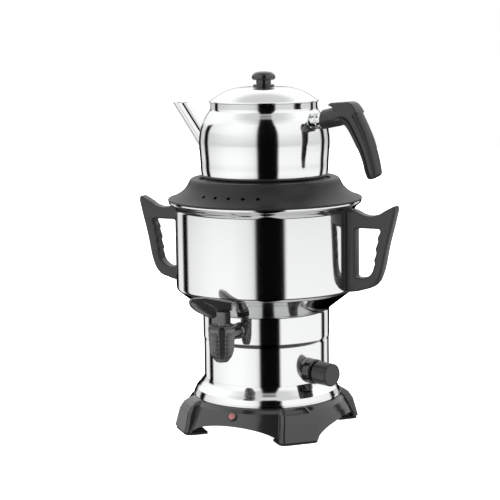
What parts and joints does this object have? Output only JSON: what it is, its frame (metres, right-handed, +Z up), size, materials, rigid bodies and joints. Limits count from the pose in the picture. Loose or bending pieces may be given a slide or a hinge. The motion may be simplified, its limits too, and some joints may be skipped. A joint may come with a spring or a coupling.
{
  "type": "electric samovar",
  "caption": "Electric samovar: polished steel boiler with a lever tap, thermostat knob and pilot light on a footed base, and a lidded teapot standing on its black lid ring.",
  "frame": {"origin": "middle of the bounding box's bottom, on the surface that the foot pads stand on", "axes": "+Z up; -Y towards the front, where the tap points; +X and -X towards the boiler's two handles. The vessels' own axis stands at y = 0.01362 m, because the tap reaches out in front."},
  "size_m": [0.334, 0.2576, 0.4234],
  "materials": {
    "polished_steel": "mirror-polished stainless steel",
    "plain_steel": "plain bright steel",
    "black_plastic": "semi-gloss moulded black",
    "foot_rubber": "matt black rubber",
    "silicone": "translucent white silicone",
    "heater_aluminium": "cast and machined",
    "ceramic": "unglazed steatite",
    "pilot_lens": "pinkish red translucent plastic"
  },
  "bodies": {
    "boiler": {"boiler_tank": "polished_steel", "lower_case": "polished_steel", "bottom_cover": "plain_steel", "cover_screw_1": "plain_steel", "cover_screw_2": "plain_steel", "cover_screw_3": "plain_steel", "cover_screw_4": "plain_steel", "tie_rod": "plain_steel", "tie_nut": "plain_steel", "heating_element": "plain_steel", "tap_nut": "plain_steel", "right_handle_screw_1": "plain_steel", "right_handle_screw_2": "plain_steel", "left_handle_screw_1": "plain_steel", "left_handle_screw_2": "plain_steel", "base": "black_plastic", "right_handle": "black_plastic", "left_handle": "black_plastic", "tap_body": "black_plastic", "tap_cap": "black_plastic", "knob_disc": "black_plastic", "pilot_housing": "black_plastic", "cord_gland": "black_plastic", "foot_pad_1": "foot_rubber", "foot_pad_2": "foot_rubber", "foot_pad_3": "foot_rubber", "foot_pad_4": "foot_rubber", "tap_outer_seal": "foot_rubber", "tap_inner_seal": "silicone", "plug_seal": "silicone", "heater_plate": "heater_aluminium", "thermal_cutout": "ceramic", "terminal_block": "ceramic", "thermostat": "ceramic", "pilot_lens": "pilot_lens"},
    "boiler_lid": {"boiler_lid_ring": "black_plastic"},
    "teapot": {"teapot_body": "polished_steel", "teapot_spout": "polished_steel", "handle_bracket": "polished_steel", "teapot_grip": "black_plastic", "grip_set_screw": "plain_steel"},
    "teapot_lid": {"teapot_lid": "polished_steel", "lid_knob": "black_plastic", "lid_knob_screw": "plain_steel"},
    "thermostat_knob": {"thermostat_knob": "black_plastic", "thermostat_shaft": "plain_steel"},
    "tap_lever": {"tap_lever": "black_plastic", "tap_plug": "plain_steel"}
  },
  "joints": [
    {"name": "boiler_lid_lift", "type": "slide", "parent": "boiler", "child": "boiler_lid", "axis": [0, 0, 1], "range_m": [0, 0.05]},
    {"name": "teapot_lift", "type": "slide", "parent": "boiler_lid", "child": "teapot", "axis": [0, 0, 1], "range_m": [0, 0.06]},
    {"name": "teapot_lid_lift", "type": "slide", "parent": "teapot", "child": "teapot_lid", "axis": [0, 0, 1], "range_m": [0, 0.05]},
    {"name": "thermostat_turn", "type": "hinge", "parent": "boiler", "child": "thermostat_knob", "pos_m": [0.07456, -0.01537, 0.0756], "axis": [-0.932, 0.3624, 0], "range_deg": [0, 270]},
    {"name": "tap_lever_turn", "type": "hinge", "parent": "boiler", "child": "tap_lever", "pos_m": [0, -0.10668, 0.1431], "axis": [0, 0, 1], "range_deg": [0, 90]}
  ]
}
